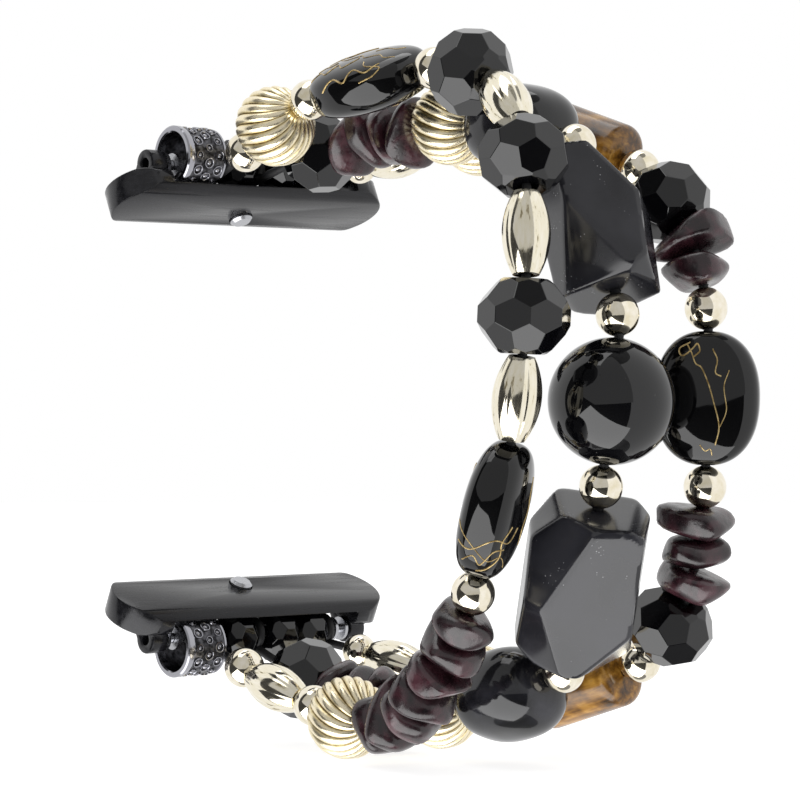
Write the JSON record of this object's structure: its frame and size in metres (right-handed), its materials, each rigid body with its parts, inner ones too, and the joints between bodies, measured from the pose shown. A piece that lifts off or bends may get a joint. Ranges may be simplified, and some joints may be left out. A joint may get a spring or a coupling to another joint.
{
  "type": "beaded watch strap",
  "caption": "Three-strand beaded stretch strap for a watch, with spring bars and slide-in case adapters at both ends.",
  "frame": {"origin": "midway between the two spring bars, where the middle of the watch case sits", "axes": "+X along the spring bars towards the far strand, -Y towards the back of the wrist, +Z from the lower adapter to the upper one"},
  "size_m": [0.0366, 0.0651, 0.0712],
  "materials": {
    "black_adapter_steel": "satin black coating, polished on the rounded edges",
    "bare_steel": "bright drawn steel",
    "gunmetal_plating": "polished rims, darkened dimples",
    "black_crystal": "cut and polished opaque black glass",
    "elastic_cord": "black stretch cord",
    "pale_gold_plating": "polished pale gold plating",
    "matte_gold_plating": "satin gold plating on fluted balls",
    "gold_lined_acrylic": "glossy black with thin gold drawn lines",
    "black_agate": "polished black stone",
    "dark_smoky_stone": "smooth polished dark stone",
    "grey_black_cut_stone": "cut stone with fine scratches",
    "brown_grained_tube": "polished golden brown with fine grain",
    "garnet_chip": "tumbled dark purple brown stone"
  },
  "bodies": {
    "back": {"rice_near_back": "pale_gold_plating", "oval_far_back": "gold_lined_acrylic", "elastic_cords_back": "elastic_cord"},
    "upper_arm": {"elastic_cords_upper": "elastic_cord", "gold_balls_upper": "pale_gold_plating", "oval_near_upper": "gold_lined_acrylic", "rice_near_top": "pale_gold_plating", "rice_near_shoulder": "pale_gold_plating", "chips_middle_upper": "garnet_chip", "pebble_middle_upper": "dark_smoky_stone", "nugget_middle_upper": "grey_black_cut_stone", "rice_far_upper": "pale_gold_plating", "tube_far_upper": "brown_grained_tube", "chips_far_upper": "garnet_chip"},
    "lower_arm": {"elastic_cords_lower": "elastic_cord", "gold_balls_lower": "pale_gold_plating", "oval_near_lower": "gold_lined_acrylic", "chips_near_lower": "garnet_chip", "rice_near_lower": "pale_gold_plating", "nugget_middle_lower": "grey_black_cut_stone", "pebble_middle_lower": "dark_smoky_stone", "chips_middle_lower": "garnet_chip", "chips_far_lower": "garnet_chip", "tube_far_lower": "brown_grained_tube", "rice_far_lower": "pale_gold_plating"},
    "adapter_upper": {"adapter_upper": "black_adapter_steel", "bar_barrel_upper": "bare_steel", "bar_spring_upper": "bare_steel", "latch_spring_upper": "bare_steel"},
    "bar_tip_upper_left": {"bar_tip_upper_left": "bare_steel"},
    "bar_tip_upper_right": {"bar_tip_upper_right": "bare_steel"},
    "latch_button_upper": {"latch_button_upper": "bare_steel"},
    "end_tube_upper": {"end_tube_upper": "gunmetal_plating"},
    "bar_crystals_upper": {"bar_crystals_upper": "black_crystal"},
    "adapter_lower": {"adapter_lower": "black_adapter_steel", "bar_barrel_lower": "bare_steel", "bar_spring_lower": "bare_steel", "latch_spring_lower": "bare_steel"},
    "bar_tip_lower_left": {"bar_tip_lower_left": "bare_steel"},
    "bar_tip_lower_right": {"bar_tip_lower_right": "bare_steel"},
    "latch_button_lower": {"latch_button_lower": "bare_steel"},
    "end_tube_lower": {"end_tube_lower": "gunmetal_plating"},
    "bar_crystals_lower": {"bar_crystals_lower": "black_crystal"},
    "fluted_ball_near_upper": {"fluted_ball_near_upper": "matte_gold_plating"},
    "crystal_near_top": {"crystal_near_top": "black_crystal"},
    "crystal_near_shoulder": {"crystal_near_shoulder": "black_crystal"},
    "crystal_near_back": {"crystal_near_back": "black_crystal"},
    "crystal_middle_upper": {"crystal_middle_upper": "black_crystal"},
    "fluted_ball_middle_upper": {"fluted_ball_middle_upper": "matte_gold_plating"},
    "fluted_ball_far_upper": {"fluted_ball_far_upper": "matte_gold_plating"},
    "crystal_far_upper": {"crystal_far_upper": "black_crystal"},
    "round_middle_back": {"round_middle_back": "black_agate"},
    "fluted_ball_near_lower": {"fluted_ball_near_lower": "matte_gold_plating"},
    "fluted_ball_middle_lower": {"fluted_ball_middle_lower": "matte_gold_plating"},
    "crystal_middle_lower": {"crystal_middle_lower": "black_crystal"},
    "crystal_far_lower": {"crystal_far_lower": "black_crystal"},
    "fluted_ball_far_lower": {"fluted_ball_far_lower": "matte_gold_plating"}
  },
  "joints": [
    {"name": "upper_arm_flex", "type": "hinge", "parent": "back", "child": "upper_arm", "pos_m": [0.0013, -0.0579, 0.0062], "axis": [1, 0, 0], "range_deg": [0, 12], "stiffness_Nm_per_rad": 0.25},
    {"name": "upper_adapter_hinge", "type": "hinge", "parent": "upper_arm", "child": "adapter_upper", "pos_m": [0, 0, 0.02455], "axis": [1, 0, 0], "range_deg": [-20, 30]},
    {"name": "upper_left_tip_press", "type": "slide", "parent": "adapter_upper", "child": "bar_tip_upper_left", "axis": [1, 0, 0], "range_m": [0, 0.0009], "stiffness_N_per_m": 900, "deforming": ["bar_spring_upper"]},
    {"name": "upper_right_tip_press", "type": "slide", "parent": "adapter_upper", "child": "bar_tip_upper_right", "axis": [-1, 0, 0], "range_m": [0, 0.0009], "stiffness_N_per_m": 900, "deforming": ["bar_spring_upper"]},
    {"name": "upper_latch_press", "type": "slide", "parent": "adapter_upper", "child": "latch_button_upper", "axis": [0, 0.4179, 0.9085], "range_m": [0, 0.0005], "stiffness_N_per_m": 600, "deforming": ["latch_spring_upper"]},
    {"name": "upper_end_tube_spin", "type": "hinge", "parent": "adapter_upper", "child": "end_tube_upper", "pos_m": [-0.0087, -0.00069, 0.02547], "axis": [1, 0, 0], "continuous": true},
    {"name": "upper_bar_crystals_spin", "type": "hinge", "parent": "adapter_upper", "child": "bar_crystals_upper", "pos_m": [0.0022, -0.00021, 0.02483], "axis": [1, 0, 0], "continuous": true},
    {"name": "lower_arm_flex", "type": "hinge", "parent": "back", "child": "lower_arm", "pos_m": [0.0013, -0.0579, -0.006], "axis": [-1, 0, 0], "range_deg": [0, 12], "stiffness_Nm_per_rad": 0.25},
    {"name": "lower_adapter_hinge", "type": "hinge", "parent": "lower_arm", "child": "adapter_lower", "pos_m": [0, 0, -0.02455], "axis": [-1, 0, 0], "range_deg": [-20, 30]},
    {"name": "lower_left_tip_press", "type": "slide", "parent": "adapter_lower", "child": "bar_tip_lower_left", "axis": [1, 0, 0], "range_m": [0, 0.0009], "stiffness_N_per_m": 900, "deforming": ["bar_spring_lower"]},
    {"name": "lower_right_tip_press", "type": "slide", "parent": "adapter_lower", "child": "bar_tip_lower_right", "axis": [-1, 0, 0], "range_m": [0, 0.0009], "stiffness_N_per_m": 900, "deforming": ["bar_spring_lower"]},
    {"name": "lower_latch_press", "type": "slide", "parent": "adapter_lower", "child": "latch_button_lower", "axis": [0, 0.4179, -0.9085], "range_m": [0, 0.0005], "stiffness_N_per_m": 600, "deforming": ["latch_spring_lower"]},
    {"name": "lower_end_tube_spin", "type": "hinge", "parent": "adapter_lower", "child": "end_tube_lower", "pos_m": [-0.0087, -0.00069, -0.02547], "axis": [1, 0, 0], "continuous": true},
    {"name": "lower_bar_crystals_spin", "type": "hinge", "parent": "adapter_lower", "child": "bar_crystals_lower", "pos_m": [0.0022, -0.00021, -0.02483], "axis": [1, 0, 0], "continuous": true},
    {"name": "fluted_ball_near_upper_spin", "type": "hinge", "parent": "upper_arm", "child": "fluted_ball_near_upper", "pos_m": [-0.00602, -0.01161, 0.02811], "axis": [0.0126, -0.9071, 0.4208], "continuous": true},
    {"name": "crystal_near_top_spin", "type": "hinge", "parent": "upper_arm", "child": "crystal_near_top", "pos_m": [-0.00411, -0.03959, 0.03159], "axis": [-0.1078, -0.9615, -0.2526], "continuous": true},
    {"name": "crystal_near_shoulder_spin", "type": "hinge", "parent": "upper_arm", "child": "crystal_near_shoulder", "pos_m": [-0.00777, -0.05121, 0.02266], "axis": [-0.2745, -0.4215, -0.8643], "continuous": true},
    {"name": "crystal_near_back_spin", "type": "hinge", "parent": "upper_arm", "child": "crystal_near_back", "pos_m": [-0.00992, -0.05367, 0.00783], "axis": [-0.0246, 0.0391, -0.9989], "continuous": true},
    {"name": "crystal_middle_upper_spin", "type": "hinge", "parent": "upper_arm", "child": "crystal_middle_upper", "pos_m": [0.00178, -0.00911, 0.026], "axis": [0.2059, -0.9639, 0.1687], "continuous": true},
    {"name": "fluted_ball_middle_upper_spin", "type": "hinge", "parent": "upper_arm", "child": "fluted_ball_middle_upper", "pos_m": [0.0031, -0.02849, 0.02772], "axis": [0.0742, -0.9969, 0.0279], "continuous": true},
    {"name": "fluted_ball_far_upper_spin", "type": "hinge", "parent": "upper_arm", "child": "fluted_ball_far_upper", "pos_m": [0.01222, -0.02236, 0.02741], "axis": [0.1936, -0.9773, 0.0857], "continuous": true},
    {"name": "crystal_far_upper_spin", "type": "hinge", "parent": "upper_arm", "child": "crystal_far_upper", "pos_m": [0.01511, -0.04697, 0.01945], "axis": [-0.1236, -0.7585, -0.6398], "continuous": true},
    {"name": "round_middle_back_spin", "type": "hinge", "parent": "back", "child": "round_middle_back", "pos_m": [0.0011, -0.05368, 0.00005], "axis": [-0.0361, 0.1276, -0.9912], "continuous": true},
    {"name": "fluted_ball_near_lower_spin", "type": "hinge", "parent": "lower_arm", "child": "fluted_ball_near_lower", "pos_m": [-0.00647, -0.0239, -0.03129], "axis": [0.0649, 0.9936, 0.0923], "continuous": true},
    {"name": "fluted_ball_middle_lower_spin", "type": "hinge", "parent": "lower_arm", "child": "fluted_ball_middle_lower", "pos_m": [0.00268, -0.02747, -0.0306], "axis": [-0.0741, 0.9942, -0.0778], "continuous": true},
    {"name": "crystal_middle_lower_spin", "type": "hinge", "parent": "lower_arm", "child": "crystal_middle_lower", "pos_m": [0.00055, -0.00832, -0.02888], "axis": [-0.1406, 0.9416, 0.3059], "continuous": true},
    {"name": "crystal_far_lower_spin", "type": "hinge", "parent": "lower_arm", "child": "crystal_far_lower", "pos_m": [0.01552, -0.04687, -0.02194], "axis": [0.0565, 0.6702, -0.74], "continuous": true},
    {"name": "fluted_ball_far_lower_spin", "type": "hinge", "parent": "lower_arm", "child": "fluted_ball_far_lower", "pos_m": [0.01251, -0.02235, -0.02933], "axis": [-0.2512, 0.9545, 0.1605], "continuous": true}
  ]
}
